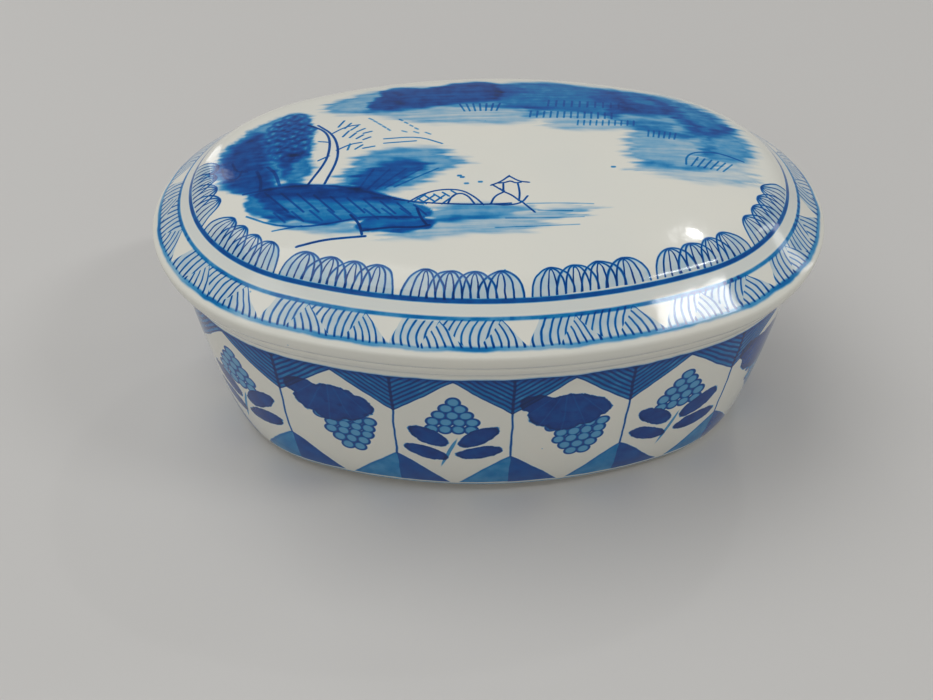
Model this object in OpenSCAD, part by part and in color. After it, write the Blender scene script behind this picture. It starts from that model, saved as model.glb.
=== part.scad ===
// Oval porcelain trinket box in two pieces: a tapered bowl on a foot ring, and a
// domed lid whose sloping flange overhangs the bowl and whose collar drops into it.
// Millimetres, +Z up, origin at the middle of the underside, long axis along X.
//
// Every level of the box is the same four-arc oval drawn in by some distance, so
// each profile is a list of [drawn-in distance from the lid's rim, height] points.

/* [Outline] */
// Length over the lid's rim
length = 130; // [118:1:150]
// Width over the lid's rim
width = 90; // [86:1:98]
// Radius of the rim's two ends
end_r = 40; // [36:0.5:40]

/* [Bowl] */
// Height of the bowl's rim above the table
bowl_h = 41.2; // [34:0.2:60]
// Height of the plain flared lip above the painted wall
lip_h = 4; // [2:0.2:6]
// How far the lip's top edge sits inside the lid's rim
lip_in = 2; // [1:0.1:3]
// How far the top of the painted wall sits inside the lid's rim
wall_top_in = 4.2; // [3.4:0.1:5]
// How far the foot of the painted wall sits inside the lid's rim
wall_foot_in = 12.6; // [10:0.1:15]
// Bend of the wall between its foot and its top, where 1 is straight
wall_bend = 0.65; // [0.5:0.05:1]
// Thickness of the wall and the floor
wall = 3; // [2.4:0.1:3.4]
// Height of the foot ring
foot_h = 1.2; // [0.8:0.1:2.5]
// Width of the foot ring
foot_w = 2.6; // [2:0.1:4]
// Radius where the floor turns up into the wall
floor_r = 5; // [3:0.5:7]

/* [Lid] */
// Height of the lid's rounded edge, from its seat to its widest line
edge_h = 3.4; // [2:0.1:4]
// How far the lid's seat is drawn in below its widest line
edge_in = 1.5; // [0.8:0.1:1.8]
// Radius over the top of the rounded edge
edge_r = 1; // [0.5:0.1:1.5]
// Width of the sloping flange
flange_w = 6; // [5:0.1:7]
// Rise of the sloping flange
flange_rise = 5.1; // [3:0.1:6]
// Width of the step between the flange and the dome
step_w = 1.6; // [1:0.1:2.5]
// Rise of the step between the flange and the dome
step_rise = 1.3; // [0.8:0.1:3]
// Radius of the dome's shoulder
shoulder_r = 9; // [6:0.5:11]
// Slope of the shoulder at the dome's edge, in degrees
shoulder_slope = 50; // [40:1:60]
// Slope where the shoulder runs into the crown, in degrees
crown_slope = 12; // [6:1:15]
// Thickness of the dome
dome_t = 3.2; // [2.4:0.1:3.6]
// Depth of the collar below the lid's seat
collar_h = 4; // [2.5:0.1:4.5]
// Thickness of the collar
collar_t = 2.2; // [1.8:0.1:2.6]
// Clearance between the collar and the bowl's mouth
collar_gap = 0.6; // [0.4:0.1:1]

/* [Hidden] */
porcelain = [0.91, 0.91, 0.89];
cobalt = [0.62, 0.70, 0.82];

seat_gap = 0.1;      // hairline between the bowl's rim and the lid's seat
soft = 0.4;          // small round on fired edges
curve_steps = 12;    // segments along each curved stretch of a profile
over = 1;            // how far a cutting solid runs past a face

// The four-arc oval: end arcs about [+-end_x, 0], side arcs about [0, -+side_y]
half_w = width / 2;
end_x = length / 2 - end_r;
side_y = (pow(end_x, 2) - pow(half_w - end_r, 2)) / (2 * (half_w - end_r));
side_r = half_w + side_y;

// A point well outside the oval on the line through an end centre and a side centre
far = 8;
far_x = far * end_x;
far_y = (far - 1) * side_y;

// Heights of the bowl
wall_top_z = bowl_h - lip_h;
underside_z = foot_h + 0.4;
floor_z = underside_z + wall;
foot_in = wall_foot_in + 2;

// Where the bowl's mouth and the lid's collar stand
mouth_in = wall_top_in + wall - 0.2;
mouth_z = bowl_h - collar_h - 1.2;
collar_in = mouth_in + collar_gap;
cavity_in = collar_in + collar_t;

// Heights of the lid
seat_z = bowl_h + seat_gap;
edge_z = seat_z + edge_h;
flange_slope = atan2(flange_rise, flange_w);
step_z = edge_z + flange_rise;
dome_in = flange_w + step_w;
dome_z = step_z + step_rise;
shoulder_w = shoulder_r * (sin(shoulder_slope) - sin(crown_slope));
shoulder_rise = shoulder_r * (cos(crown_slope) - cos(shoulder_slope));
crown_in = dome_in + shoulder_w;
crown_r = (end_r - crown_in) / sin(crown_slope);
crown_z = dome_z + shoulder_rise;
top_z = crown_z + crown_r * (1 - cos(crown_slope));

// How far the painted wall is drawn in at height z
function wall_in(z) =
    let (t = (z - foot_h) / (wall_top_z - foot_h))
    wall_foot_in + (wall_top_in - wall_foot_in) * pow(t, wall_bend);

// An arc of a profile about [x, z], with its angle measured up from straight out
function arc(x, z, r, from, to) =
    [for (i = [0 : curve_steps])
        let (a = from + (to - from) * i / curve_steps) [x - r * cos(a), z + r * sin(a)]];

// The dome from its edge to the middle: shoulder arc, then the flatter crown arc
function dome_line(drop, first_slope) = concat(
    [for (i = [0 : curve_steps])
        let (s = first_slope + (crown_slope - first_slope) * i / curve_steps)
        [crown_in - shoulder_r * (sin(s) - sin(crown_slope)),
         crown_z - shoulder_r * (cos(crown_slope) - cos(s)) - drop]],
    [for (i = [1 : curve_steps])
        let (s = crown_slope * (1 - i / curve_steps))
        [end_r - crown_r * sin(s), top_z - crown_r * (1 - cos(s)) - drop]]);

// A profile given as [drawn-in, height] points, turned about the centre of one arc
module turned(profile, r) {
    rotate_extrude($fn = 180)
        polygon([for (p = profile) [r - p[0], p[1]]]);
}

// The upright wedge that one arc of the oval fills, with its edge at the arc's centre
module sector(centre, first, last) {
    linear_extrude(2 * length, center = true)
        polygon([centre, first, last]);
}

// A closed profile swept all the way round the oval, as four arcs that meet in the
// upright planes through the centres of both
module oval_sweep(profile) {
    for (side = [-1, 1]) {
        intersection() {
            translate([side * end_x, 0, 0])
                turned(profile, end_r);
            sector([side * end_x, 0], [side * far_x, far_y], [side * far_x, -far_y]);
        }
        intersection() {
            translate([0, -side * side_y, 0])
                turned(profile, side_r);
            sector([0, -side * side_y], [far_x, side * far_y], [-far_x, side * far_y]);
        }
    }
}

// The solid inside an outline that runs from its lowest point to its highest
module oval_solid(outline) {
    low = outline[0][1];
    high = outline[len(outline) - 1][1];
    oval_sweep(concat(outline, [[end_r, high], [end_r, low]]));
    translate([0, 0, low])
        linear_extrude(high - low)
            intersection_for (side = [-1, 1])
                translate([0, side * side_y])
                    circle(r = side_r - end_r, $fn = 180);
}

// Outside of the bowl: foot ring, painted wall, plain lip
bowl_outline = concat(
    [[foot_in + soft, 0], [foot_in, soft], [foot_in, foot_h]],
    [for (i = [0 : 2 * curve_steps])
        let (z = foot_h + (wall_top_z - foot_h) * pow(i / (2 * curve_steps), 2))
        [wall_in(z), z]],
    [[lip_in + (wall_top_in - lip_in) * 0.4, bowl_h - lip_h * 0.6],
     [lip_in, bowl_h - lip_h * 0.2], [lip_in, bowl_h - soft], [lip_in + soft, bowl_h]]);

// Inside of the bowl: floor, rounded corner, wall, upright mouth for the collar
bowl_hollow = concat(
    arc(wall_in(floor_z + floor_r) + wall + floor_r, floor_z + floor_r, floor_r, -90, 0),
    [for (i = [1 : curve_steps])
        let (z = floor_z + floor_r + (mouth_z - floor_z - floor_r) * i / curve_steps)
        [max(wall_in(z) + wall, mouth_in), z]],
    [[mouth_in, mouth_z + 0.8], [mouth_in, bowl_h - soft], [mouth_in - soft, bowl_h],
     [mouth_in - soft, bowl_h + over]]);

module bowl() {
    color(cobalt)
        difference() {
            oval_solid(bowl_outline);
            oval_solid(bowl_hollow);
            oval_solid([[foot_in + foot_w, -over], [foot_in + foot_w, foot_h],
                        [foot_in + foot_w + soft, underside_z]]);
        }
}

// Outside of the lid: rounded edge, sloping flange, step, dome
lid_outline = concat(
    [[edge_in + soft, seat_z], [edge_in, seat_z + soft],
     [edge_in * 0.4, seat_z + edge_h * 0.35], [edge_in * 0.1, seat_z + edge_h * 0.7]],
    arc(edge_r, edge_z, edge_r, 0, 90 - flange_slope),
    [[flange_w, step_z]],
    dome_line(0, shoulder_slope));

// Inside of the lid: upright collar, rounded corner, underside of the dome
lid_hollow = concat(
    [[cavity_in - soft, seat_z - collar_h - over], [cavity_in - soft, seat_z - collar_h],
     [cavity_in, seat_z - collar_h + soft]],
    arc(cavity_in + dome_t, crown_z - 2 * dome_t, dome_t, 0, 90 - crown_slope),
    [for (p = dome_line(dome_t, crown_slope)) if (p[0] > cavity_in + dome_t) p]);

module lid() {
    color(porcelain)
        difference() {
            union() {
                oval_solid(lid_outline);
                oval_solid([[collar_in + soft, seat_z - collar_h],
                            [collar_in, seat_z - collar_h + soft], [collar_in, seat_z + over]]);
            }
            oval_solid(lid_hollow);
        }
}

bowl();
lid();
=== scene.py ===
"""Looks for an oval porcelain trinket box: a painted bowl and its lift-off domed lid.

Lengths are millimetres until a mesh, light or camera is made. Every level of the box
is the same four-arc oval drawn in by some distance, so a profile is a list of
(drawn-in distance from the lid's rim, height) points.
"""

import math
from functools import partial, reduce

import bpy
import numpy as np
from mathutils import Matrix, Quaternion, Vector


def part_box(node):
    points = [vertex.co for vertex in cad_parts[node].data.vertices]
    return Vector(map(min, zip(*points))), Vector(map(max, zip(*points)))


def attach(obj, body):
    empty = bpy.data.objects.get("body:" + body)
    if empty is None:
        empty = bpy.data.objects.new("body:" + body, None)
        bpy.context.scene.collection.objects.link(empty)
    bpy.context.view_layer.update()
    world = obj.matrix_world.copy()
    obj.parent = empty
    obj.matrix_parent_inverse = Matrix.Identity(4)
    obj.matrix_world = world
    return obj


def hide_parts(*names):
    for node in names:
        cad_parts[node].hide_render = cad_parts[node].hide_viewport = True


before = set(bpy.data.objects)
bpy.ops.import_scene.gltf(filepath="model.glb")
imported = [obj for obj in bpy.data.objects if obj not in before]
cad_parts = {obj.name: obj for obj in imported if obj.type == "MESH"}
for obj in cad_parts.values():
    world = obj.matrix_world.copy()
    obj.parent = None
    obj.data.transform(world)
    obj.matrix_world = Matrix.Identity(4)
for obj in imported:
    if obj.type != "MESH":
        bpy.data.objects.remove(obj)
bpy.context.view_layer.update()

MM = 0.001


def mm_box(node):
    """A CAD node's lowest and highest corners in millimetres."""
    return [np.array(corner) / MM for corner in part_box(node)]


# -- Sizes from the frame --

bowl_low, bowl_high = mm_box("bowl")
lid_low, lid_high = mm_box("lid")
half_length, half_width, top_z = lid_high
bowl_h = bowl_high[2]

# -- The oval: end arcs about (+-end_x, 0) and side arcs about (0, -+side_y) --

END_R = 40
end_x = half_length - END_R
side_y = (end_x ** 2 - (half_width - END_R) ** 2) / (2 * (half_width - END_R))
side_r = half_width + side_y
end_turn = math.atan2(side_y, end_x)
side_turn = math.pi / 2 - end_turn

# -- The bowl's profile --

# Radius that rounds off sharp corners
SOFT = 0.4
LIP_IN = bowl_low[0] - lid_low[0]
LIP_H = 4
WALL_TOP_IN = 4.2
WALL_FOOT_IN = 12.6
WALL_BEND = 0.65
WALL = 3
FOOT_H = 1.2
FOOT_W = 2.6
FOOT_INSET = 2
FLOOR_R = 5
wall_top_z = bowl_h - LIP_H
underside_z = FOOT_H + SOFT
floor_z = underside_z + WALL
foot_in = WALL_FOOT_IN + FOOT_INSET
mouth_in = WALL_TOP_IN + WALL - 0.2

# -- The lid's profile --

EDGE_H = 3.4
EDGE_IN = 1.5
EDGE_R = 1
FLANGE_W = 6
FLANGE_RISE = 5.1
STEP_W = 1.6
STEP_RISE = 1.3
SHOULDER_R = 9
SHOULDER_SLOPE = math.radians(50)
CROWN_SLOPE = math.radians(12)
DOME_T = 3.2
COLLAR_H = 4
COLLAR_T = 2.2
COLLAR_GAP = 0.6
SEAT_GAP = 0.1
collar_in = mouth_in + COLLAR_GAP
cavity_in = collar_in + COLLAR_T
mouth_z = bowl_h - COLLAR_H - 1.2
seat_z = bowl_h + SEAT_GAP
edge_z = seat_z + EDGE_H
step_z = edge_z + FLANGE_RISE
flange_slope = math.atan2(FLANGE_RISE, FLANGE_W)
step_length = math.hypot(STEP_W, STEP_RISE)
dome_in = FLANGE_W + STEP_W
dome_z = step_z + STEP_RISE
crown_in = dome_in + SHOULDER_R * (math.sin(SHOULDER_SLOPE) - math.sin(CROWN_SLOPE))
crown_z = dome_z + SHOULDER_R * (math.cos(CROWN_SLOPE) - math.cos(SHOULDER_SLOPE))
crown_r = (END_R - crown_in) / math.sin(CROWN_SLOPE)

# -- The painted bands --

SECTORS = 14
LID_PAINT_IN = 3
BOWL_PAINT_IN = 8
LID_SECTOR_START = 5.1
BOWL_SECTOR_START = 2.6


def perimeter(drawn_in):
    """Length of the oval drawn in by that distance."""
    return 4 * (end_turn * (END_R - drawn_in) + side_turn * (side_r - drawn_in))


lid_pitch = perimeter(LID_PAINT_IN) / SECTORS
bowl_pitch = perimeter(BOWL_PAINT_IN) / SECTORS


# -- Profiles --

def wall_in(z):
    """How far the painted wall is drawn in at height z."""
    t = (z - FOOT_H) / (wall_top_z - FOOT_H)
    return WALL_FOOT_IN + (WALL_TOP_IN - WALL_FOOT_IN) * t ** WALL_BEND


def dome_height(drawn_in):
    """Height of the dome's top: a tight shoulder arc, then the flatter crown arc."""
    across = np.minimum(drawn_in, END_R)
    shoulder = np.clip((crown_in - across) / SHOULDER_R + math.sin(CROWN_SLOPE), 0, 0.99)
    on_shoulder = crown_z - SHOULDER_R * (math.cos(CROWN_SLOPE) - np.sqrt(1 - shoulder ** 2))
    on_crown = top_z - crown_r + np.sqrt(crown_r ** 2 - (END_R - across) ** 2)
    return np.where(across < crown_in, on_shoulder, on_crown)


def arc(x, z, r, first, last, steps=8):
    """Profile points along an arc about (x, z), with its angle measured up from straight out."""
    turns = np.radians(np.linspace(first, last, steps + 1))
    return [(x - r * math.cos(a), z + r * math.sin(a)) for a in turns]


def softened(points, radius, steps=4):
    """The points with each corner between the first and the last rounded off."""
    rounded = [points[0]]
    placed = np.array(points)
    for before, corner, after in zip(placed, placed[1:], placed[2:]):
        start = corner + (before - corner) * radius / np.linalg.norm(before - corner)
        end = corner + (after - corner) * radius / np.linalg.norm(after - corner)
        for t in np.linspace(0, 1, steps + 1):
            rounded.append(tuple((1 - t) ** 2 * start + 2 * t * (1 - t) * corner + t ** 2 * end))
    return rounded + [points[-1]]


def between(a, b, share):
    """The point that share of the way from a to b."""
    return tuple((1 - share) * np.array(a) + share * np.array(b))


def spaced(points, spacing):
    """The points without repeats, and with more put between those further apart than the spacing."""
    filled = [points[0]]
    for a, b in zip(points, points[1:]):
        pieces = math.ceil(round(math.dist(a, b) / spacing, 6))
        for i in range(1, pieces + 1):
            filled.append(between(a, b, i / pieces))
    return filled


# -- Meshes --

def drawn_in_at(x, y):
    """How far inside the lid's rim a point of the plan lies."""
    x, y = np.abs(x), np.abs(y)
    beside_end = (x - end_x) * side_y > y * end_x
    to_end = END_R - np.hypot(x - end_x, y)
    to_side = side_r - np.hypot(x, y + side_y)
    return np.where(beside_end, to_end, to_side)


def oval_points(columns, drawn_in, paint_in):
    """Points round the oval from +X, evenly spaced where it is drawn in by paint_in."""
    end_part = end_turn * (END_R - paint_in)
    quarter = perimeter(paint_in) / 4
    along = np.arange(columns) * 4 * quarter / columns
    folded = quarter - np.abs(along % (2 * quarter) - quarter)
    on_end = folded < end_part
    turn = np.where(on_end, folded / (END_R - paint_in),
                    end_turn + (folded - end_part) / (side_r - paint_in))
    centre_x = np.where(on_end, end_x, 0)
    centre_y = np.where(on_end, 0, -side_y)
    radius = np.where(on_end, END_R, side_r) - drawn_in
    mirror_x = np.where((along > quarter) & (along < 3 * quarter), -1, 1)
    mirror_y = np.where(along > 2 * quarter, -1, 1)
    return np.stack([mirror_x * (centre_x + radius * np.cos(turn)),
                     mirror_y * (centre_y + radius * np.sin(turn))], axis=1)


def store(mesh, name, values, domain="POINT"):
    """Keeps a number, or three, for each point or each face's corner of the mesh."""
    kind, key = ("FLOAT", "value") if values.ndim == 1 else ("FLOAT_VECTOR", "vector")
    kept = mesh.attributes.new(name, kind, domain)
    kept.data.foreach_set(key, values.astype(np.float32).ravel())


def added(name, data):
    """A new object in the scene."""
    thing = bpy.data.objects.new(name, data)
    bpy.context.scene.collection.objects.link(thing)
    return thing


class Shell:
    """A closed wall made of rings of points round the oval, with a patch at each end."""

    def __init__(self, paint_in):
        self.paint_in = paint_in
        self.points = []
        self.faces = []
        self.corners = []

    def add_points(self, points):
        """Adds the points and says where they start."""
        start = sum(len(p) for p in self.points)
        self.points.append(points)
        return start

    def add_faces(self, faces, around, down):
        """Adds faces with the painted coordinates of their corners."""
        self.faces.extend(faces.tolist())
        self.corners.append(np.column_stack([around.ravel(), down.ravel(), np.zeros(around.size)]))

    def ring(self, columns, drawn_in, z):
        """Adds one level of the oval."""
        plan = oval_points(columns, drawn_in, self.paint_in)
        return self.add_points(np.column_stack([plan, np.full(columns, z)]))

    def band(self, columns, lower, upper, down_lower, down_upper):
        """Quads between two rings."""
        i = np.arange(columns)
        j = (i + 1) % columns
        step = perimeter(self.paint_in) / columns
        faces = np.stack([lower + i, lower + j, upper + j, upper + i], axis=1)
        around = np.stack([i, i + 1, i + 1, i], axis=1) * step
        down = np.tile([down_lower, down_lower, down_upper, down_upper], (columns, 1))
        self.add_faces(faces, around, down)

    def join(self, columns, coarse, fine, down):
        """Joins a ring to one that has three times as many points."""
        i = np.arange(columns)
        j = (i + 1) % columns
        around = i * perimeter(self.paint_in) / columns
        middle = np.stack([coarse + i, coarse + j, fine + 3 * i + 2, fine + 3 * i + 1], axis=1)
        left = np.stack([coarse + i, fine + 3 * i + 1, fine + 3 * i], axis=1)
        right = np.stack([coarse + j, fine + 3 * j, fine + 3 * i + 2], axis=1)
        for faces in (middle, left, right):
            self.add_faces(faces, np.tile(around[:, None], faces.shape[1]),
                           np.full(faces.shape, down))

    def patch(self, ring, columns, across, height, down, facing_up):
        """Fills a ring with a grid. across is how many of its points lie along each long side."""
        deep = columns // 2 - across
        corner = deep // 2
        i, j = np.arange(across + 1), np.arange(deep + 1)
        back = ring + (corner + across - i) % columns
        front = ring + (corner + across + deep + i) % columns
        right = ring + (j - corner) % columns
        left = ring + (corner + across + deep - j) % columns
        placed = np.concatenate(self.points)[:, :2]
        u = np.linspace(0, 1, across + 1)[None, :, None]
        v = np.linspace(0, 1, deep + 1)[:, None, None]
        plan = ((1 - v) * placed[front][None] + v * placed[back][None]
                + (1 - u) * placed[left][:, None] + u * placed[right][:, None]
                - (1 - u) * (1 - v) * placed[front[0]] - u * (1 - v) * placed[front[-1]]
                - (1 - u) * v * placed[back[0]] - u * v * placed[back[-1]])
        inner = plan[1:-1, 1:-1].reshape(-1, 2)
        start = self.add_points(np.column_stack([inner, height(inner[:, 0], inner[:, 1])]))
        index = np.zeros((deep + 1, across + 1), int)
        index[1:-1, 1:-1] = start + np.arange(len(inner)).reshape(deep - 1, across - 1)
        index[0], index[-1] = front, back
        index[:, 0], index[:, -1] = left, right
        faces = np.stack([index[:-1, :-1], index[:-1, 1:], index[1:, 1:], index[1:, :-1]], axis=2)
        faces = faces.reshape(-1, 4)
        if not facing_up:
            faces = faces[:, ::-1]
        self.add_faces(faces, np.zeros(faces.shape), np.full(faces.shape, down))

    def build(self, name):
        """Makes the object, with its painted coordinates in the corner attribute "rim"."""
        mesh = bpy.data.meshes.new(name)
        points = np.concatenate(self.points) * MM
        mesh.from_pydata(points.tolist(), [], self.faces)
        store(mesh, "rim", np.concatenate(self.corners), "CORNER")
        mesh.shade_smooth()
        return added(name, mesh)


def rings_along(shell, profile, columns, downs):
    """Sweeps a profile round the oval, and returns its first and last rings."""
    rings = [shell.ring(columns, x, z) for x, z in profile]
    for k in range(len(rings) - 1):
        shell.band(columns, rings[k], rings[k + 1], downs[k], downs[k + 1])
    return rings[0], rings[-1]


# Points round each piece, and how many of them lie along each long side of its patches
BOWL_COLUMNS = 336
BOWL_ACROSS = 96
LID_COLUMNS = 876
LID_ACROSS = 258
LID_UNDER_COLUMNS = LID_COLUMNS // 3
LID_UNDER_ACROSS = 84
# Where the patches of the lid's top and ceiling begin
PATCH_IN = 15
CEILING_PATCH_IN = 20
# Widest gaps between rings
BOWL_GAP = 1.2
INSIDE_GAP = 2
LID_UNDER_GAP = 1.5
LID_GAP = 1.6
# Painted depth of what has no paint: below every band, or with a minus sign above them
UNPAINTED = 99


def domed(below):
    """A patch's height that lies that far below the dome's top."""
    return lambda x, y: dome_height(drawn_in_at(x, y)) - below


def bowl_mesh():
    """The bowl: underside, foot ring, painted wall, lip, mouth, inside and floor."""
    foot = softened([(foot_in + FOOT_W + 3, underside_z), (foot_in + FOOT_W + SOFT, underside_z),
                     (foot_in + FOOT_W, FOOT_H - 0.2), (foot_in + FOOT_W, 0), (foot_in, 0),
                     (foot_in, FOOT_H), (WALL_FOOT_IN + 0.9, FOOT_H)], 0.3)
    wall = [(wall_in(z), z) for z in FOOT_H + (wall_top_z - FOOT_H) * np.linspace(0, 1, 41) ** 2]
    lip = softened([wall[-1], (LIP_IN + (WALL_TOP_IN - LIP_IN) * 0.4, bowl_h - LIP_H * 0.6),
                    (LIP_IN, bowl_h - LIP_H * 0.2), (LIP_IN, bowl_h), (mouth_in, bowl_h),
                    (mouth_in, mouth_z + 0.8), (wall_in(mouth_z) + WALL, mouth_z)], SOFT)
    inner_bottom = floor_z + FLOOR_R
    inside = [(max(wall_in(z) + WALL, mouth_in), z) for z in np.linspace(mouth_z, inner_bottom, 20)]
    fillet = arc(wall_in(inner_bottom) + WALL + FLOOR_R, inner_bottom, FLOOR_R, 0, -90, 10)
    below = spaced(foot, BOWL_GAP)
    painted = spaced(wall, BOWL_GAP)[1:]
    plain = spaced(lip, BOWL_GAP)[1:] + spaced(inside, INSIDE_GAP)[1:] + fillet[1:]
    downs = ([UNPAINTED] * len(below) + [wall_top_z - z for _, z in painted]
             + [-UNPAINTED] * len(plain))
    shell = Shell(BOWL_PAINT_IN)
    first, last = rings_along(shell, below + painted + plain, BOWL_COLUMNS, downs)
    shell.patch(first, BOWL_COLUMNS, BOWL_ACROSS, lambda x, y: 0 * x + underside_z, UNPAINTED,
                facing_up=False)
    shell.patch(last, BOWL_COLUMNS, BOWL_ACROSS, lambda x, y: 0 * x + floor_z, -UNPAINTED,
                facing_up=True)
    return shell.build("bowl_porcelain")


def lid_mesh():
    """The lid: ceiling, collar, seat, rounded edge, flange, step and dome."""
    ceiling_in = cavity_in + 2 * DOME_T
    ceiling = [(x, dome_height(x) - DOME_T) for x in np.linspace(CEILING_PATCH_IN, ceiling_in, 4)]
    corner = arc(cavity_in + DOME_T, crown_z - 2 * DOME_T, DOME_T, 90 - math.degrees(CROWN_SLOPE), 0)
    collar = softened([corner[-1], (cavity_in, seat_z - COLLAR_H), (collar_in, seat_z - COLLAR_H),
                       (collar_in, seat_z), (EDGE_IN + 2, seat_z)], SOFT)
    under = spaced(ceiling + corner[:-1] + collar, LID_UNDER_GAP)
    edge = softened([(EDGE_IN + 1.4, seat_z), (EDGE_IN, seat_z),
                     (EDGE_IN * 0.4, seat_z + EDGE_H * 0.35),
                     (EDGE_IN * 0.1, seat_z + EDGE_H * 0.7), (0, edge_z)], 0.45, 3)
    nose = arc(EDGE_R, edge_z, EDGE_R, 0, 90 - math.degrees(flange_slope), 5)
    dome = [(x, float(dome_height(x))) for x in np.linspace(dome_in + 0.5, PATCH_IN, 11)]
    step = softened([nose[-1], (FLANGE_W, step_z), (dome_in, dome_z), dome[0]], 0.35, 3)
    over = spaced(edge + nose[1:-1] + step, LID_GAP) + dome[1:]
    lengths = np.cumsum([0] + [math.dist(a, b) for a, b in zip(over, over[1:])])
    upper = [(x, along) for (x, z), along in zip(over, lengths) if z > edge_z]
    at_dome = np.interp(dome_in, *zip(*upper))
    shell = Shell(LID_PAINT_IN)
    under_first, under_last = rings_along(shell, under, LID_UNDER_COLUMNS, [-UNPAINTED] * len(under))
    over_first, over_last = rings_along(shell, over, LID_COLUMNS, lengths - at_dome)
    shell.join(LID_UNDER_COLUMNS, under_last, over_first, -UNPAINTED)
    shell.patch(under_first, LID_UNDER_COLUMNS, LID_UNDER_ACROSS, domed(DOME_T), -UNPAINTED,
                facing_up=False)
    shell.patch(over_last, LID_COLUMNS, LID_ACROSS, domed(0), lengths[-1] - at_dome, facing_up=True)
    return shell.build("lid_porcelain")


# -- Fields: numbers that differ over a surface, as outputs of shader nodes --

class Field:
    """A node's output with arithmetic on it."""

    def __init__(self, socket):
        self.socket = socket
        self.tree = socket.id_data

    def __add__(self, other):
        return computed("ADD", self, other)

    def __sub__(self, other):
        return computed("SUBTRACT", self, other)

    def __rsub__(self, other):
        return computed("SUBTRACT", other, self)

    def __mul__(self, other):
        return computed("MULTIPLY", self, other)

    def __truediv__(self, other):
        return computed("DIVIDE", self, other)

    __radd__ = __add__
    __rmul__ = __mul__


def feed(socket, value):
    """Links a field to a socket, or sets the socket to a number or a tuple."""
    if isinstance(value, Field):
        value.tree.links.new(value.socket, socket)
    else:
        socket.default_value = value


def new_node(tree, kind, inputs):
    """A shader node with its inputs fed."""
    node = tree.nodes.new("ShaderNode" + kind)
    for name, value in inputs.items():
        feed(node.inputs[name], value)
    return node


def computed(operation, *values):
    """A field worked out from fields and numbers."""
    tree = next(v.tree for v in values if isinstance(v, Field))
    node = tree.nodes.new("ShaderNodeMath")
    node.operation = operation
    for socket, value in zip(node.inputs, values):
        feed(socket, value)
    return Field(node.outputs[0])


def least(*values):
    """The smallest of several fields."""
    return reduce(partial(computed, "MINIMUM"), values)


def most(*values):
    """The largest of several fields."""
    return reduce(partial(computed, "MAXIMUM"), values)


def size_of(value):
    """A field without its sign."""
    return computed("ABSOLUTE", value)


def fraction(value):
    """What is left of a field above the whole number below it."""
    return computed("FRACT", value)


def fade(value, start, end):
    """Runs smoothly from 0 where the field is at start to 1 where it is at end."""
    node = new_node(value.tree, "MapRange", {"Value": value, "From Min": start, "From Max": end})
    node.interpolation_type = "SMOOTHSTEP"
    return Field(node.outputs["Result"])


def line(offset, width, soft=0.12):
    """A brush line of that width where the field passes through 0."""
    return fade(size_of(offset), width / 2 + soft, width / 2 - soft)


def stripes(value, spacing, width):
    """Lines wherever the field is a multiple of the spacing."""
    return line((fraction(value / spacing + 0.5) - 0.5) * spacing, width)


def layered(*layers):
    """The strength of washes painted over each other."""
    bare = 1 - layers[0]
    for layer in layers[1:]:
        bare = bare * (1 - layer)
    return 1 - bare


def joined(x, y):
    """A vector from two fields."""
    return Field(new_node(x.tree, "CombineXYZ", {"X": x, "Y": y}).outputs[0])


def stored(tree, name, output="Fac"):
    """What the mesh keeps under that name: a number, or with output "Vector" three."""
    node = tree.nodes.new("ShaderNodeAttribute")
    node.attribute_name = name
    return Field(node.outputs[output])


def stored_parts(tree, name):
    """The three numbers that the mesh keeps, each as a field."""
    node = new_node(tree, "SeparateXYZ", {"Vector": stored(tree, name, "Vector")})
    return [Field(output) for output in node.outputs]


def object_place(tree):
    """Where a point lies on its object."""
    return Field(tree.nodes.new("ShaderNodeTexCoord").outputs["Object"])


def noise(tree, size, seed, stretch=(1, 1, 1), detail=2):
    """Soft random values between about 0.25 and 0.75, in patches of that size in millimetres."""
    mapping = new_node(tree, "Mapping", {
        "Vector": object_place(tree),
        "Scale": [1 / (size * MM * part) for part in stretch],
        "Location": (seed, seed * 1.7, seed * 2.3)})
    place = Field(mapping.outputs[0])
    node = new_node(tree, "TexNoise", {"Vector": place, "Scale": 1, "Detail": detail})
    return Field(node.outputs["Fac"])


def unsteady(value, amount, size, seed):
    """A coordinate shaken as a hand shakes a brush."""
    return value + (noise(value.tree, size, seed) - 0.5) * amount


def oval_mark(spot, centre, radii, lean=0):
    """Distance from an ellipse's middle, where its outline is 1."""
    mapping = new_node(spot.tree, "Mapping", {
        "Vector": spot,
        "Location": (*centre, 0),
        "Rotation": (0, 0, math.radians(lean)),
        "Scale": (*radii, 1)})
    mapping.vector_type = "TEXTURE"
    length = new_node(spot.tree, "VectorMath", {0: Field(mapping.outputs[0])})
    length.operation = "LENGTH"
    return Field(length.outputs["Value"])


# -- Paint on the bowl --

BERRY_R = 1.45
BERRY_STEP = 2.4
# Rows of berries above the leaves: middle, height below the wall's top, how many
BERRY_ROWS = [(0.2, 7.4, 1), (0.1, 9.3, 2), (0, 11.3, 3), (0, 13.4, 4), (-0.2, 15.6, 4)]
# Rows of grapes below the vine leaf
GRAPE_ROWS = [(1.4, 15.6, 5), (2.2, 17.7, 4), (1.9, 19.8, 4), (2.1, 21.9, 3), (2.3, 24, 2)]
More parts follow.
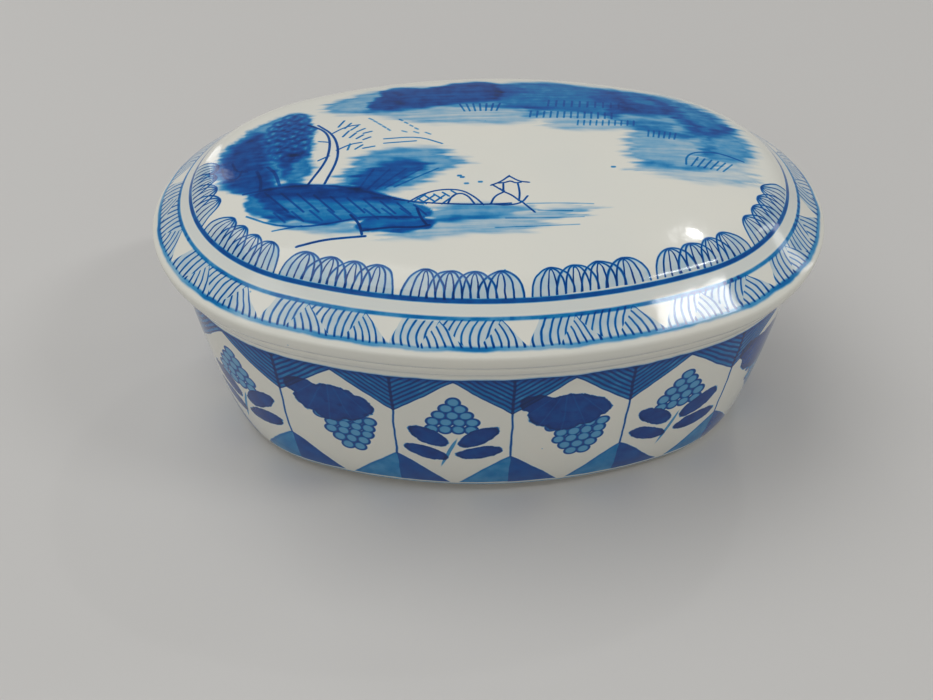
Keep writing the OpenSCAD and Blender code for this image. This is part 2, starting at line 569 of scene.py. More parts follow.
# Leaves: centre, half length and half width, lean in degrees
SPRIG_LEAVES = [((-4.5, 18.1), (4.4, 2.2), 38), ((4.8, 17.9), (4.5, 2.2), -38),
                ((-5.2, 23.3), (4.5, 1.9), 24), ((5, 23), (4.6, 2), -14)]
VINE_LOBES = [
    ((-5.8, 8.7), (4, 2.7), 16), ((0, 9.2), (4.8, 2.9), 6), ((4.1, 11), (3.4, 2.9), 36),
    ((-4.6, 12), (3.6, 3.3), 40), ((-1.2, 14), (3.8, 3.1), 0), ((2.8, 13.3), (3.2, 2.7), -24)]
VINE_MIDDLE = (-1, 4)
VEIN_TURN = 0.36
STALK = ((-0.8, 23.2), (0.4, 5.2), 18)
# Heights below the wall's top: hatched points, dividing lines, triangles and the foot line
WALL_LINE_DOWN = 1.1
POINT_DOWN = 11
POINT_SLOPE = 0.86
HATCH_SPACING = 1.32
HATCH_W = 0.64
TRIANGLE_DOWN = 24.4
TRIANGLE_H = 9.6
TRIANGLE_BEND = 0.85
TRIANGLE_FOOT_DOWN = 34.4
FOOT_LINE_DOWN = 35.2


def berries(spot, rows):
    """Distance to the nearest berry's middle."""
    nearest = []
    for middle, height, count in rows:
        for i in range(count):
            centre = (middle + (i - (count - 1) / 2) * BERRY_STEP, height)
            nearest.append(oval_mark(spot, centre, (1, 1)))
    return least(*nearest)


def berry_ink(distance):
    """Berries with a dark outline and a pale middle."""
    inside = fade(distance, BERRY_R + 0.12, BERRY_R - 0.12)
    outline = fade(distance, BERRY_R - 0.65, BERRY_R - 0.2) * inside
    return layered(inside * 0.4, outline * 0.72)


def leaf_ink(spot, leaves, wash, ragged):
    """Filled leaves with darker edges, more or less ragged."""
    nearest = least(*[oval_mark(spot, *leaf) for leaf in leaves])
    nearest = unsteady(nearest, ragged, size=1.5, seed=24)
    inside = fade(nearest, 1.06, 0.94)
    edge = fade(nearest, 0.72, 0.95)
    return inside * (0.68 + wash * 0.26 + edge * 0.1)


def bowl_ink(tree):
    """Strength of the blue on the bowl: 14 panels between hatched points and triangles."""
    around, down, _ = stored_parts(tree, "rim")
    start = 0.75 * perimeter(BOWL_PAINT_IN) + BOWL_SECTOR_START
    turns = (unsteady(around, amount=0.9, size=7, seed=1) - start) / bowl_pitch + SECTORS
    height = unsteady(down, amount=0.9, size=6, seed=2)
    across = (fraction(turns) - 0.5) * bowl_pitch
    to_divider = bowl_pitch / 2 - size_of(across)
    odd = fade(fraction(turns / 2), 0.499, 0.501)
    wash = noise(tree, 3, 3)
    # Hatched points that hang from the top line, with a heavy middle line
    point = POINT_DOWN - to_divider * POINT_SLOPE - height
    in_point = fade(point, -0.15, 0.15) * fade(height, WALL_LINE_DOWN - 0.1, WALL_LINE_DOWN + 0.2)
    hatch = stripes(point - 0.05, HATCH_SPACING, HATCH_W) * in_point
    stem = line(to_divider, 0.55) * fade(height, POINT_DOWN + 0.4, POINT_DOWN) * in_point
    points = layered(in_point * (0.4 + wash * 0.3), hatch * 0.74, stem * 0.8)
    # Thin line between panels, and the triangle that it ends in
    below_point = fade(height, POINT_DOWN - 0.5, POINT_DOWN)
    above_triangle = fade(height, TRIANGLE_DOWN + 0.6, TRIANGLE_DOWN + 0.1)
    divider = line(to_divider, 0.4) * below_point * above_triangle * 0.76
    rise = most((height - TRIANGLE_DOWN) / TRIANGLE_H, 0.0001)
    slope = computed("POWER", rise, TRIANGLE_BEND) * TRIANGLE_H - to_divider
    in_triangle = (fade(slope, -0.2, 0.25) * fade(height, TRIANGLE_DOWN - 0.2, TRIANGLE_DOWN + 0.2)
                   * fade(height, TRIANGLE_FOOT_DOWN + 0.2, TRIANGLE_FOOT_DOWN - 0.2))
    right_half = fade(across, 0.01, -0.01)
    edge = fade(slope, 1.1, 0.1) * in_triangle
    triangle = layered(in_triangle * (0.38 + right_half * 0.24 + wash * 0.26), edge * 0.2)
    # Lines at the top and the bottom of the wall
    top_line = layered(line(height - WALL_LINE_DOWN, 0.3) * 0.7,
                       line(height - WALL_LINE_DOWN - 0.2, 1.2, 0.3) * 0.3)
    foot_line = line(height - FOOT_LINE_DOWN, 0.5, 0.2) * 0.45
    # What fills the panels: berries over leaves, or grapes under a vine leaf
    spot = joined(across, height)
    stalk = fade(oval_mark(spot, *STALK), 1.1, 0.8)
    sprig_leaves = leaf_ink(spot, SPRIG_LEAVES, wash, 0.3)
    sprig_berries = berry_ink(berries(spot, BERRY_ROWS)) * (1 - sprig_leaves)
    sprig = layered(sprig_berries, sprig_leaves, stalk * 0.45)
    turn = computed("ARCTAN2", height - VINE_MIDDLE[1], across - VINE_MIDDLE[0])
    away = oval_mark(spot, VINE_MIDDLE, (1, 1))
    veins = line((fraction(turn / VEIN_TURN) - 0.5) * VEIN_TURN * away, 0.22)
    vine_leaf = leaf_ink(spot, VINE_LOBES, wash, 0.4)
    grapes = berry_ink(berries(spot, GRAPE_ROWS)) * (1 - vine_leaf)
    vine = layered(grapes, vine_leaf * (1 - veins * 0.1))
    motif = odd * sprig + (1 - odd) * vine
    return layered(points, divider, triangle, top_line, foot_line, motif)


# -- Paint on the lid --

SCALLOPS = 4
SCALLOP_W = 4.1
SCALLOP_H = 5.6
SCALLOP_EDGE = 0.75
# Ribs of an arch: shares of its half width and of its height
SCALLOP_RIBS = [(1, 1), (0.58, 0.97), (0.2, 0.92)]
SCALLOP_LINE_W = 0.36
# The scallops run along the front, over this many of the 14 bands
SCALLOP_BANDS = 7
# Gap between the dome's edge and the scallops' feet
SCALLOP_UP = 0.9
# Fans of strokes on the flange: (start, lean) of the first edge and of the last, strokes' lean
FANS = [
    ((1.8, -0.42), (8.3, -0.72), -0.55),
    ((8.3, -0.72), (8.3, 0.95), 0.92),
    ((8.3, 0.95), (18.9, -0.8), -0.6),
    ((18.9, -0.8), (19.2, 0.95), 0.92),
]
FAN_OUT = 0.9
FAN_END = 5.8
FAN_SPACING = 1.36
FAN_LINE_W = 0.36
FAN_BEND = 0.08
# The two lines either side of the step, the line at the flange's rim and the beads along it
DOME_LINE = (0.5, 0.9)
STEP_LINE = (-0.55, 0.75)
RIM_LINE = (6, 0.9)
BEAD_SPACING = 1.7
BEAD_W = 0.7
scallop_step = (lid_pitch - 2 * SCALLOP_EDGE - 2 * SCALLOP_W) / (SCALLOPS - 1)


def hoop(spot, centre, radii, width):
    """A brush line along an ellipse."""
    wide, high = radii
    outer = oval_mark(spot, centre, (wide + width / 2, high + width / 2))
    inner = oval_mark(spot, centre, (wide - width / 2, high - width / 2))
    return fade(outer, 1.03, 0.97) * fade(inner, 0.95, 1.05)


def scallop_ink(tree, across, up):
    """Four overlapping arches on the dome's shoulder, ribbed like shells."""
    spot = joined(across, up)
    fills, strokes = [], []
    for i in range(SCALLOPS):
        middle = SCALLOP_EDGE + SCALLOP_W + i * scallop_step
        fills.append(oval_mark(spot, (middle, 0), (SCALLOP_W, SCALLOP_H)))
        for share, rise in SCALLOP_RIBS:
            radii = (SCALLOP_W * share, SCALLOP_H * rise)
            strokes.append(hoop(spot, (middle, 0), radii, SCALLOP_LINE_W))
    inside = fade(least(*fills), 1.02, 0.98)
    brush = 0.6 + noise(tree, 2, 16) * 0.45
    return layered(inside * (0.04 + noise(tree, 4, 11) * 0.26), most(*strokes) * brush)


def flange_ink(tree, across, out):
    """Fans of slanting strokes on the flange, leaning one way and then the other."""
    below = out - FAN_OUT
    inks, tints = [], []
    for (first, first_lean), (last, last_lean), lean in FANS:
        inside = (fade(across - first - below * first_lean, -0.1, 0.1)
                  * fade(across - last - below * last_lean, 0.1, -0.1))
        bend = below * below * math.copysign(FAN_BEND, lean)
        strokes = stripes(across - last - below * lean + bend, FAN_SPACING, FAN_LINE_W)
        inks.append(strokes * inside)
        tints.append(inside)
    in_height = fade(out, FAN_OUT - 0.3, FAN_OUT + 0.1) * fade(out, FAN_END + 0.2, FAN_END - 0.2)
    ink = layered(*inks) * (0.4 + noise(tree, 3, 13) * 0.5)
    tint = layered(*tints) * (0.02 + noise(tree, 4, 12) * 0.26)
    pooled = fade(out, FAN_END - 1.6, FAN_END - 0.4) * layered(*inks) * 0.5
    return layered(ink, tint, pooled) * in_height


def lid_ink(tree, line_count):
    """Strength of the blue on the lid: rim border, lines, scallops, landscape, and a faint painted
    shade on the step.
    """
    around, depth, _ = stored_parts(tree, "rim")
    start = 0.75 * perimeter(LID_PAINT_IN) + LID_SECTOR_START
    shaky = unsteady(around, amount=1, size=5, seed=4)
    shaky = unsteady(shaky, amount=2.4, size=19, seed=14)
    turns = (shaky - start) / lid_pitch + SECTORS
    across = fraction(turns) * lid_pitch
    up = unsteady(depth, amount=0.8, size=4, seed=5)
    up = unsteady(up, amount=1.2, size=16, seed=15)
    out = -step_length - up
    wash = noise(tree, 3, 6)
    scallops = scallop_ink(tree, across, up - SCALLOP_UP)
    bands = size_of(turns - SECTORS + 0.5)
    front = fade(bands, SCALLOP_BANDS / 2 + 0.01, SCALLOP_BANDS / 2 - 0.01)
    scallops = scallops * front * fade(up, SCALLOP_UP, SCALLOP_UP + 0.2)
    dome_line = line(depth - DOME_LINE[0], DOME_LINE[1], 0.2) * (0.5 + wash * 0.45)
    beads = stripes(around, BEAD_SPACING, BEAD_W) * fade(noise(tree, 16, 17), 0.5, 0.6)
    inner_line = (line(depth + step_length - STEP_LINE[0], STEP_LINE[1], 0.2)
                  * (0.28 + wash * 0.5 + beads * 0.35))
    outer_line = line(out - RIM_LINE[0], RIM_LINE[1], 0.3) * (noise(tree, 16, 7) * 1.1 - 0.1)
    border = flange_ink(tree, across, out)
    # Painted shade: a faint grey-blue over the step band, standing in for the shade its steeper
    # slope takes.
    step = fade(depth, -step_length - 0.2, -step_length + 0.4) * fade(depth, 0, -0.4) * 0.05
    return layered(scallops, dome_line, inner_line, outer_line, border, step,
                   landscape_ink(tree, line_count))


def landscape_ink(tree, line_count):
    """The landscape's washes, broken up by the brush, and its fine lines."""
    wash = stored(tree, "wash")
    streaks = noise(tree, 0.9, 8, (12, 1, 1), 3)
    blots = noise(tree, 2.2, 9, detail=3)
    edge = fade(wash, 0.02, 0.5)
    ragged = (streaks - 0.5) * (1 - edge) * wash * 2.2
    washes = wash * (0.58 + blots * 0.46 + streaks * 0.38) + ragged
    lines = []
    for number in range(line_count):
        side, away, strength = stored_parts(tree, f"line_{number}")
        lines.append(fade(size_of(side), 1.4, 0.7) * fade(away, 0.25, 0) * strength)
    return layered(washes, most(*lines) * (0.75 + blots * 0.5))


# -- The landscape, as strokes and washes seen from above --

# Washes: strength, softness of the edge, how far the brush's hairs run on, outline
WASHES = [
    # Trees on the left
    (0.42, 1.4, 0.4, [
        (-53, 2), (-51, 9), (-45.5, 16), (-38, 20.3), (-34.5, 18), (-33.5, 10), (-33.6, 2),
        (-37, 0), (-40, -9), (-46, -9), (-50, -6), (-52.5, -3)]),
    (0.62, 3, 0.5, [
        (-52, 3), (-48, 11), (-44.5, 13.5), (-42.5, 8), (-42, 1), (-40, -8), (-45, -9), (-51, -3)]),
    (0.5, 1.8, 0.3, [(-40, 3), (-33.6, 4), (-33.4, -7), (-39, -8)]),
    # Bush
    (0.38, 2.4, 1.2, [
        (-29, -9), (-27.5, -3), (-24, 1.5), (-17, 3.8), (-9, 3.6), (-7, 0), (-3, -1.4), (-9, -5),
        (-14, -9.4), (-21, -12)]),
    (0.5, 2.6, 1, [
        (-27, -9), (-24, -4), (-18, -0.5), (-12, -1), (-12.5, -4), (-17, -8), (-22, -11.5)]),
    # Bank
    (0.52, 0.8, 0.2, [
        (-45, -8), (-38, -7), (-28, -8), (-20, -12), (-13, -14.5), (-11.5, -17), (-12.5, -18.5),
        (-24, -18.5), (-32, -19), (-38, -17), (-42, -12.5)]),
    (0.56, 2, 0.2, [
        (-44, -8), (-36, -7.5), (-28, -8.4), (-20, -12), (-16, -14.6), (-24, -13.5), (-32, -12),
        (-40, -12)]),
    (0.5, 1, 0.2, [(-46, -8), (-42, -9), (-36, -17), (-38, -18.5), (-42, -16.5), (-45.5, -13)]),
    (0.58, 0.6, 0.2, [
        (-25, -18.5), (-17, -17.5), (-10, -19), (-11, -21), (-18, -22.3), (-24, -22)]),
    (0.3, 1.4, 1, [(-43, -15), (-37, -17), (-24, -19), (-22, -22.5), (-32, -21), (-40, -19)]),
    # Water
    (0.34, 1.8, 1.6, [(-13, -15.3), (-2, -15), (9, -15.5), (4, -17.5), (-2, -20), (-12, -20)]),
    (0.24, 1.8, 3, [
        (-13, -18), (0, -18.5), (18, -15.4), (16, -18), (12, -20.5), (0, -23.5), (-22, -24),
        (-20, -22)]),
    # Far shore behind
    (0.34, 2.4, 1, [
        (-33, 21), (-30, 25), (-24, 28), (-16, 29), (-16, 18), (-23, 16.5), (-30, 17.5)]),
    (0.36, 2, 0.5, [
        (-22, 20), (-18, 28), (0, 31), (16, 31), (28, 28), (40, 20), (36, 15), (20, 15), (0, 19)]),
    (0.62, 1.8, 0.4, [
        (-24, 18.5), (-22, 24), (-20, 29), (-15, 30.5), (-10, 29), (-5, 31.5), (3, 32), (4, 26),
        (3, 21), (-4, 20.5), (-12, 19), (-18, 18)]),
    (0.24, 2.4, 1.6, [
        (-28, 18), (-16, 19), (0, 20), (12, 19), (12, 12.5), (0, 11), (-12, 12), (-20, 15)]),
    (0.3, 2.8, 0.8, [
        (2, 20), (1, 31.5), (14, 31), (27, 28), (30, 21), (28, 13.5), (20, 12.3), (9, 12.8),
        (8, 17)]),
    (0.26, 2.4, 0.8, [(-1, 23), (0, 30), (9, 30), (8, 24)]),
    (0.3, 3, 0.8, [(21, 20), (22, 28), (29, 27), (29, 20)]),
    (0.22, 1.8, 1.6, [(9, 12.5), (28, 13), (38, 12), (36, 9), (22, 8.4), (12, 8.8)]),
    (0.34, 2.2, 0.8, [(23, 14), (25, 21), (36, 20), (43, 12), (41, 5), (30, 7.5)]),
    # Near shore on the right
    (0.34, 2.4, 0.6, [(27, 14), (28, 28), (36, 25), (38, 14)]),
    (0.52, 3.6, 0.8, [
        (33, 26), (38, 25), (44.5, 19.5), (50, 12), (47, 8), (41, 6.5), (38, 12), (36, 20)]),
    (0.4, 3.4, 0.8, [(41, 8), (47, 13), (51.5, 8), (51.5, 0), (47, -3), (41, -1)]),
    (0.3, 2.6, 1.2, [(26, 9.4), (40, 9), (43, 2), (43, -5), (33, -6), (26, -4)]),
    (0.16, 1.8, 2.2, [(26, -2), (38, -4), (51, -3), (50.5, -9), (38, -9), (28, -7)]),
]

# Leaves dabbed on the right side of the trees: middle and half size of their area
DAB_AREA = ((-38.4, 9.5), (4, 9))
DABS = 46
DAB_R = 1.1
DAB_INK = 0.34

# Fine lines: half width, strength, each line's points
STROKES = [
    # Trunks under the trees
    (0.3, 0.5, [[(-42, -1), (-40.5, -3), (-39.5, -7)], [(-44, -2), (-43, -5), (-43, -8)]]),
    (0.22, 0.5, [
        [(-51, 1), (-50, -3), (-47.5, -3.5), (-47, -1)], [(-49, 2), (-48, -1), (-46, -1.5)]]),
    # Bare tree
    (0.24, 0.78, [
        [(-35, 13.5), (-32, 11), (-30.7, 8), (-30.4, 4), (-31, -1), (-34, -7.5)],
        [(-33, 13), (-30, 9), (-28.8, 4), (-28.9, -1), (-31, -7.7)]]),
    (0.2, 0.6, [
        [(-30.6, 6), (-32.6, 6.5)], [(-30.6, 1), (-32.4, -0.3)],
        [(-29, 3), (-26.5, 5), (-24.5, 5.5)], [(-30, 9.5), (-27.5, 12), (-25, 12.5)]]),
    # Bank's edges and its drops
    (0.22, 0.5, [
        [(-45, -15), (-40, -18.3), (-34, -19.4), (-28, -18.6), (-24, -17.6), (-18, -18),
         (-13, -18.4)]]),
    (0.24, 0.78, [
        [(-26, -17), (-24.4, -19.5), (-24, -22)], [(-14, -16), (-13.4, -18.5), (-12.3, -20.5)],
        [(-24, -21.2), (-19, -20.6), (-14, -21), (-12, -20.5)]]),
    (0.26, 0.78, [[(-35.5, -24), (-31, -22.9), (-27, -22.7), (-23.5, -22.6)]]),
    (0.18, 0.5, [[(-40, -19.6), (-35, -19)]]),
    (0.26, 0.5, [[(-46, -8.5), (-38, -7.6), (-28, -8.6), (-20, -12.2), (-13, -14.6)]]),
    # Bridge
    (0.19, 0.78, [
        [(-15.5, -14), (-13, -12), (-10, -10.7), (-6, -10.8), (-3.5, -13), (-2, -15.3)],
        [(-18, -13.2), (-12, -14.6), (-2, -15.4), (3, -15.1)],
        [(-8.4, -14.8), (-7.6, -12.6), (-6, -11.8), (-4.6, -12.8), (-3.6, -15)]]),
    # Boat and boatman in a pointed hat
    (0.19, 0.78, [
        [(-0.6, -15.2), (0.2, -13), (2, -11.8)],
        [(-0.6, -15.2), (2, -15.7), (5, -15.2), (6.2, -13.2)],
        [(-0.2, -9.7), (1.6, -8.7), (3.2, -6.9), (3.2, -6.9), (5, -8.7), (6.7, -9)],
        [(1.2, -9.1), (2.4, -9), (3.4, -8.4), (4.2, -9.2), (5.2, -9)],
        [(0, -9.6), (1.9, -11.6), (1.9, -11.6), (2, -9.4)], [(4.7, -9.4), (4.9, -12), (4.6, -14.4)],
        [(1.9, -11.7), (3.4, -12.8), (4.6, -14.4), (5, -14.8)],
        [(5, -14.6), (6, -16), (7.2, -17.6)]]),
    # Water
    (0.16, 0.3, [[(6, -15.3), (12, -15.2), (18, -15.5)], [(8, -17.2), (14, -17.4)]]),
    (0.14, 0.3, [[(2, -19.2), (9, -19.3), (16, -19)], [(0, -21.6), (8, -21.4), (15, -21)]]),
    # Far grass
    (0.2, 0.5, [[(-20, 6.6), (-13.5, 7.2), (-9, 4.5)], [(-20, 5), (-14, 5.6)]]),
    # Leaf on the right
    (0.2, 0.4, [[(37, -3.2), (37.4, -0.6), (39.5, 1.2), (44, 1.6), (48.5, -0.6)]]),
]

# Rows of short strokes: half width, strength, first stroke, last stroke, how many
ROWS = [
    # Furrows on the bank
    (0.2, 0.5, [(-42, -9), (-37.5, -15)], [(-14.5, -15), (-12.5, -17.6)], 10),
    (0.2, 0.4, [(-40, -15), (-38, -17.6)], [(-17, -15.8), (-14.4, -18.6)], 8),
    # Trees and reeds on the far shore
    (0.18, 0.34, [(18, 12.4), (17.7, 10.6)], [(29, 12.2), (28.7, 10.4)], 10),
    (0.18, 0.34, [(31.4, 8.4), (31, 6.2)], [(36.6, 7.6), (36, 5.4)], 6),
    (0.2, 0.34, [(9, 16.4), (8.6, 14)], [(25, 15.6), (24.7, 13.2)], 13),
    (0.2, 0.34, [(13, 21.4), (12.6, 18.8)], [(27, 20.2), (26.7, 18)], 10),
    (0.2, 0.4, [(-5, 20), (-4.2, 17)], [(3, 20), (2.2, 17)], 7),
    (0.18, 0.4, [(39.6, -0.8), (38, -3.6)], [(46, -2.2), (44, -4.6)], 6),
    # Leaves of the bare tree
    (0.22, 0.55, [(-29, 12), (-28, 14.4)], [(-24, 9), (-22.6, 9.6)], 5),
    (0.22, 0.55, [(-28, 8), (-27, 10)], [(-24, 6.6), (-22.8, 7.4)], 4),
    (0.22, 0.5, [(-27, 3), (-26.6, 5)], [(-24, 3.4), (-22, 4)], 3),
    # Birds over the water
    (0.24, 0.4, [(-23, 15), (-22.4, 14.4)], [(-19.4, 10.4), (-19, 9.8)], 5),
    (0.24, 0.4, [(-17, 14), (-16.6, 13.6)], [(-14, 10.4), (-13.6, 10)], 4),
    (0.22, 0.4, [(-16.5, 9.4), (-15.8, 9)], [(-12, 8.6), (-11.2, 8)], 3),
    # Stones of the bridge
    (0.2, 0.6, [(-14, -13), (-12.4, -14.6)], [(-7.6, -11.2), (-6.8, -12)], 5),
    (0.2, 0.6, [(-14.6, -14), (-12.6, -12.2)], [(-9.4, -14.8), (-7.2, -12.6)], 4),
    # Blades of the bush
    (0.2, 0.3, [(-25, -10.5), (-22, -4)], [(-18, -9.5), (-10, -4)], 5),
]

# Dots left by the brush
DOTS = [(-6, -6.5), (-5.5, -7), (-4.8, -9), (-2.2, -8.6), (23, -4.5)]
DOT_R = 0.3

GOLDEN_TURN = math.pi * (3 - math.sqrt(5))
# A distance that stands for none, and how far apart the lines of one layer keep
FAR_AWAY = 99.0
LAYER_GAP = 0.75


def rounded_path(points, closed=False):
    """The path with its corners cut twice."""
    for _ in range(2):
        pairs = list(zip(points, points[1:] + points[:1] if closed else points[1:]))
        cut = []
        for a, b in pairs:
            cut += [between(a, b, 0.25), between(a, b, 0.75)]
        points = cut if closed else [points[0]] + cut + [points[-1]]
    return points


def along_segment(x, y, a, b):
    """Distance from each point to a segment, and to the line through it with a sign for its side."""
    dx, dy = b[0] - a[0], b[1] - a[1]
    length = max(math.hypot(dx, dy), 1e-6)
    t = np.clip(((x - a[0]) * dx + (y - a[1]) * dy) / length ** 2, 0, 1)
    away = np.hypot(x - a[0] - t * dx, y - a[1] - t * dy)
    return away, ((x - a[0]) * dy - (y - a[1]) * dx) / length


def sided_path(x, y, points):
    """Distance from each point to a path, and to its nearest stretch's line with a sign."""
    nearest = sided = np.full(x.shape, FAR_AWAY)
    for a, b in zip(points, points[1:]):
        away, side = along_segment(x, y, a, b)
        sided = np.where(away < nearest, side, sided)
        nearest = np.minimum(nearest, away)
    return nearest, sided


def inside_of(x, y, outline):
    """Which points lie inside a closed outline."""
    inside = np.zeros(x.shape, bool)
    for (ax, ay), (bx, by) in zip(outline, outline[1:] + outline[:1]):
        if ay != by:
            crosses = (ay > y) != (by > y)
            inside ^= crosses & (x < (bx - ax) * (y - ay) / (by - ay) + ax)
    return inside


def smooth_step(t):
    """0 below 0, 1 above 1, and smooth between."""
    t = np.clip(t, 0, 1)
    return t * t * (3 - 2 * t)


def mesh_points(piece):
    """The mesh's points in millimetres, as three arrays."""
    flat = np.zeros(len(piece.data.vertices) * 3)
    piece.data.vertices.foreach_get("co", flat)
    return flat.reshape(-1, 3).T / MM


def wash_layer(x, y, on_dome):
    """How strong the washes are at each point of the dome."""
    shaky_x = x + 0.35 * np.sin(0.9 * y + 1) + 0.2 * np.sin(2.3 * x + 1.1 * y)
    shaky_y = y + 0.3 * np.sin(0.37 * x) + 0.2 * np.sin(1.9 * y + 0.9 * x + 2)
    hairs = (0.5 * np.sin(5.3 * y + 0.2 * x) + 0.6 * np.sin(3.1 * y + np.sin(0.2 * x))
             + 0.4 * np.sin(1.3 * y + 2))
    bare = np.ones(len(x))
    for strength, soft, run_on, outline in WASHES:
        outline = rounded_path(outline, closed=True)
        brushed_x = shaky_x + run_on * hairs
        away, _ = sided_path(brushed_x, shaky_y, outline + outline[:1])
        depth = np.where(inside_of(brushed_x, shaky_y, outline), away, -away)
        pooled = 0.06 * smooth_step(1 - np.abs(depth - soft * 0.5) / 1.2)
        bare *= 1 - strength * smooth_step(0.5 + depth / soft) - pooled
    for dab_x, dab_y in dabs():
        from_dab = np.hypot(x - dab_x, y - dab_y)
        bare *= 1 - DAB_INK * smooth_step(1.4 - np.abs(from_dab - DAB_R) / 0.42)
    return np.where(on_dome, 1 - bare, 0)


def dabs():
    """Places of the dabbed leaves, spread evenly by turning the golden angle each time."""
    (middle_x, middle_y), (reach_x, reach_y) = DAB_AREA
    for k in range(DABS):
        out = math.sqrt((k + 0.5) / DABS)
        yield (middle_x + reach_x * out * math.cos(GOLDEN_TURN * k),
               middle_y + reach_y * out * math.sin(GOLDEN_TURN * k))


def all_marks():
    """Every fine line as (half width, strength, points)."""
    for half_width, strength, paths in STROKES:
        for points in paths:
            yield half_width, strength, rounded_path(points)
    for half_width, strength, first, last, count in ROWS:
        for share in np.linspace(0, 1, count):
            yield half_width, strength, [between(a, b, share) for a, b in zip(first, last)]
    for x, y in DOTS:
        yield DOT_R, 0.5, [(x - 0.1, y), (x + 0.1, y)]


def line_layers(x, y):
    """What each point knows of the line nearest to it in each of several layers.

    The lines of a layer keep clear of each other, so no point needs to know two of them.
    """
    layers = []
    for half_width, strength, points in all_marks():
        away, side = sided_path(x, y, points)
        touched = away < LAYER_GAP
        for layer in layers:
            if not np.any(touched & (layer["away"] < LAYER_GAP)):
                break
        else:
            layer = {"away": FAR_AWAY, "side": FAR_AWAY, "width": half_width, "strength": 0}
            layers.append(layer)
        closer = away < layer["away"]
        found = {"away": away, "side": side, "width": half_width, "strength": strength}
        for key, value in found.items():
            layer[key] = np.where(closer, value, layer[key])
    return layers


def paint_landscape(piece):
    """Writes the landscape's washes and fine lines into the lid's mesh."""
    x, y, z = mesh_points(piece)
    drawn_in = drawn_in_at(x, y)
    on_dome = (drawn_in > dome_in) & (z > dome_height(drawn_in) - 1)
    store(piece.data, "wash", wash_layer(x, y, on_dome))
    layers = line_layers(x, y)
    for number, layer in enumerate(layers):
        away = np.where(on_dome, layer["away"], FAR_AWAY) - layer["width"]
        side = layer["side"] / layer["width"]
        store(piece.data, f"line_{number}", np.column_stack([side, away, layer["strength"]]))
    return len(layers)


# -- Glazed porcelain --

# Colour of the glazed blue, from unpainted porcelain to the heaviest brush stroke
BLUES = [
    (0, (0.8, 0.782, 0.695)),
    (0.18, (0.51, 0.61, 0.655)),
    (0.33, (0.21, 0.43, 0.61)),
    (0.44, (0.06, 0.3, 0.56)),
    (0.55, (0.002, 0.18, 0.45)),
    (0.68, (0.0005, 0.095, 0.37)),
    (0.84, (0.0005, 0.045, 0.24)),
    (1, (0.002, 0.02, 0.1)),
]
# Bare clay where a piece stands or rests
BISCUIT = (0.62, 0.57, 0.49)
SPECK_SPACING = 9
SPECK_R = 0.16
GLAZE_IOR = 1.5
GLAZE_SPECULAR = 0.32
GLAZE_WAVE_H = 0.02
GLAZE_WAVE_STRENGTH = 0.4
GLAZE_ROUGHNESS = 0.05
ROUGHNESS_SPREAD = 0.09
BISCUIT_ROUGHNESS = 0.6
# Strength of the grey clouds and of the specks
CLOUD_INK = 0.04
SPECK_INK = 0.3


def specks(tree):
    """Tiny specks of iron in the clay, far apart."""
    scale = 1 / (SPECK_SPACING * MM)
    node = new_node(tree, "TexVoronoi", {"Vector": object_place(tree), "Scale": scale})
    reach = SPECK_R / SPECK_SPACING
    return fade(Field(node.outputs["Distance"]), reach * 1.5, reach) * SPECK_INK


def mark_bare(piece, levels):
    """Marks the rings that stay unglazed: around each height, between two drawn-in distances."""
    x, y, z = mesh_points(piece)
    drawn_in = drawn_in_at(x, y)
    bare = np.zeros(len(x), bool)
    for height, first, last in levels:
        bare |= (np.abs(z - height) < 0.05) & (drawn_in > first) & (drawn_in < last)
    store(piece.data, "bare", bare.astype(float))


def new_material(name):
    """A material and its shader."""
    material = bpy.data.materials.new(name)
    material.use_nodes = True
    return material, material.node_tree.nodes["Principled BSDF"]


def glazed_porcelain(name, ink_of):
    """A glazed porcelain material, painted with the strength of blue that ink_of gives."""
    material, shader = new_material(name)
    tree = material.node_tree
    cloud = noise(tree, 18, seed=21) * CLOUD_INK
    ramp = new_node(tree, "ValToRGB", {"Fac": layered(ink_of(tree), cloud, specks(tree))})
    elements = ramp.color_ramp.elements
    elements.remove(elements[0])
    for position, colour in BLUES[:-1]:
        elements.new(position).color = (*colour, 1)
    elements[-1].color = (*BLUES[-1][1], 1)
    bare = stored(tree, "bare")
    body = tree.nodes.new("ShaderNodeMix")
    body.data_type = "RGBA"
    feed(body.inputs["Factor"], bare)
    tree.links.new(ramp.outputs["Color"], body.inputs["A"])
    body.inputs["B"].default_value = (*BISCUIT, 1)
    tree.links.new(body.outputs["Result"], shader.inputs["Base Color"])
    roughness = GLAZE_ROUGHNESS + noise(tree, 5, seed=22) * ROUGHNESS_SPREAD
    feed(shader.inputs["Roughness"], roughness + bare * BISCUIT_ROUGHNESS)
    shader.inputs["IOR"].default_value = GLAZE_IOR
    shader.inputs["Specular IOR Level"].default_value = GLAZE_SPECULAR
    bump = new_node(tree, "Bump", {
        "Strength": GLAZE_WAVE_STRENGTH,
        "Distance": GLAZE_WAVE_H * MM,
        "Height": noise(tree, 1.6, seed=23) + noise(tree, 6, seed=25) * 6})
    tree.links.new(bump.outputs[0], shader.inputs["Normal"])
    return material


# -- The pieces --

bowl = bowl_mesh()
mark_bare(bowl, [(0, foot_in, foot_in + FOOT_W), (bowl_h, LIP_IN, mouth_in)])
bowl.data.materials.append(glazed_porcelain("bowl_glaze", bowl_ink))
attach(bowl, "bowl")
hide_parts("bowl")

lid = lid_mesh()
mark_bare(lid, [(seat_z, EDGE_IN, collar_in), (seat_z - COLLAR_H, collar_in, cavity_in)])
line_count = paint_landscape(lid)
lid.data.materials.append(glazed_porcelain("lid_glaze", lambda tree: lid_ink(tree, line_count)))
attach(lid, "lid")
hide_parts("lid")


# -- Floor, light and camera --

FLOOR_REACH = 4
FLOOR_COLOUR = (0.62, 0.61, 0.59)
FLOOR_ROUGHNESS = 0.6
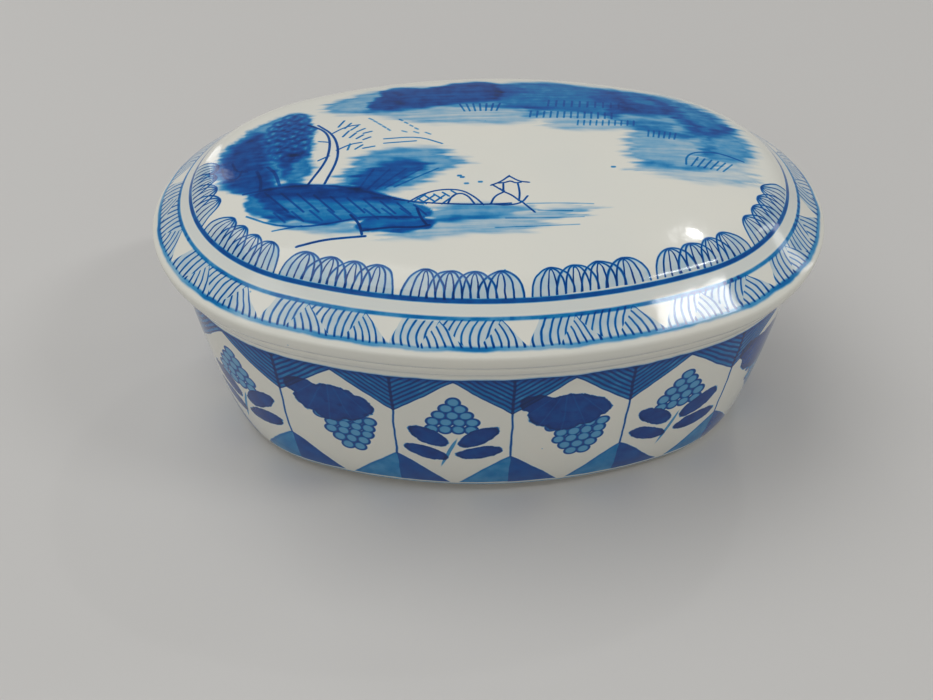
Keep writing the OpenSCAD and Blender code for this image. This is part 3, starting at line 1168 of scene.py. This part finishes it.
# Lights: name, direction from the box, metres away, size in metres, watts, turn in degrees.
# A broad key above and a fill in front, then narrow ones for the glaze to mirror.
SOFTBOXES = [
    ("key", (-0.4, 0.1, 1), 1.4, (1.3, 1.1), 7.8, 0),
    ("fill", (-0.3, -1, 0.7), 1.8, (1.6, 0.8), 4.4, 0),
    ("window", (0.58, -0.25, 0.775), 1.3, (0.38, 0.05), 1.8, -37),
    ("lamp", (0.32, 0.51, 0.8), 1.2, (0.045, 0.022), 0.36, 0),
    ("side", (1, 0.35, 0.32), 1.4, (0.12, 0.8), 1.2, 0),
    ("back", (-0.5, 1, 0.3), 1.5, (0.14, 0.9), 1, 0),
]
ROOM_COLOUR = (1, 0.99, 0.98)
ROOM_STRENGTH = 0.29
CAMERA_TARGET = Vector((-4.5, -5, 12.6))
CAMERA_DISTANCE = 300
CAMERA_RISE = math.radians(41)
CAMERA_SWING = math.radians(-2.35)
CAMERA_ROLL = math.radians(0.24)
CAMERA_LENS = 55.9


def pale_floor():
    """A wide pale tabletop."""
    mesh = bpy.data.meshes.new("floor")
    corners = [(-1, -1), (1, -1), (1, 1), (-1, 1)]
    mesh.from_pydata([(FLOOR_REACH * x, FLOOR_REACH * y, 0) for x, y in corners], [], [(0, 1, 2, 3)])
    floor = added("floor", mesh)
    material, shader = new_material("pale_floor")
    shader.inputs["Base Color"].default_value = (*FLOOR_COLOUR, 1)
    shader.inputs["Roughness"].default_value = FLOOR_ROUGHNESS
    mesh.materials.append(material)


def softbox(name, direction, distance, size, power, turn):
    """A rectangular area light that looks at the box from a direction, turned in degrees."""
    light = bpy.data.lights.new(name, "AREA")
    light.shape = "RECTANGLE"
    light.size, light.size_y = size
    light.energy = power
    lamp = added(name, light)
    towards = Vector(direction).normalized()
    lamp.location = towards * distance
    turned = Quaternion((0, 0, 1), math.radians(turn))
    lamp.rotation_euler = (towards.to_track_quat("Z", "Y") @ turned).to_euler()


def lights():
    """All the softboxes, and an even light from the room."""
    for values in SOFTBOXES:
        softbox(*values)
    world = bpy.data.worlds.new("room")
    world.use_nodes = True
    background = world.node_tree.nodes["Background"]
    background.inputs["Color"].default_value = (*ROOM_COLOUR, 1)
    background.inputs["Strength"].default_value = ROOM_STRENGTH
    bpy.context.scene.world = world


def camera():
    """The camera above the front of the box."""
    data = bpy.data.cameras.new("camera")
    data.lens = CAMERA_LENS
    data.clip_start = 0.01
    viewer = added("camera", data)
    level = math.cos(CAMERA_RISE)
    back = Vector((math.sin(CAMERA_SWING) * level, -math.cos(CAMERA_SWING) * level,
                   math.sin(CAMERA_RISE)))
    viewer.location = (CAMERA_TARGET + back * CAMERA_DISTANCE) * MM
    viewer.rotation_mode = "QUATERNION"
    viewer.rotation_quaternion = Quaternion(back, CAMERA_ROLL) @ back.to_track_quat("Z", "Y")
    bpy.context.scene.camera = viewer


pale_floor()
lights()
camera()
bpy.context.scene.view_settings.view_transform = "Standard"
